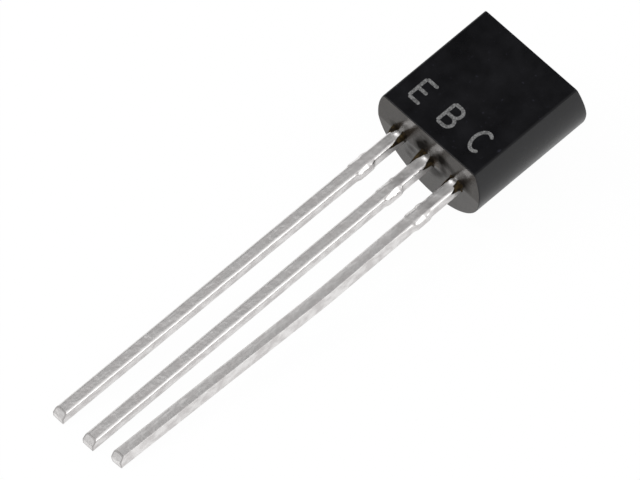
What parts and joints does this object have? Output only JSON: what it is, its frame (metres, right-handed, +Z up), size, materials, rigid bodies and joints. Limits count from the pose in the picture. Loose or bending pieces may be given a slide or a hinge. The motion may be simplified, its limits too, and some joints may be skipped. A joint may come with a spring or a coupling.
{
  "type": "to-92 transistor",
  "caption": "Small-signal transistor: a D-section black plastic moulding with straight flat-tinned leads in a row, lying on its round back.",
  "frame": {"origin": "centre of the part's box on the surface that it rests on", "axes": "+Z up; +Y towards the moulding's closed end, with the leads reaching towards -Y; +X across the flat, from the emitter lead to the collector lead"},
  "size_m": [0.0046, 0.019, 0.0038],
  "materials": {
    "moulding": "black epoxy moulding compound, fine eroded texture on the flat and semi-gloss end faces",
    "lead": "tin-plated copper alloy, satin with light drawing marks",
    "die": "polished silicon",
    "solder": "dull solder",
    "wire": "drawn gold wire"
  },
  "bodies": {
    "root": {"body": "moulding", "emitter_lead": "lead", "base_lead": "lead", "collector_lead": "lead", "die": "die", "die_solder": "solder", "emitter_wire": "wire", "base_wire": "wire"}
  },
  "joints": []
}
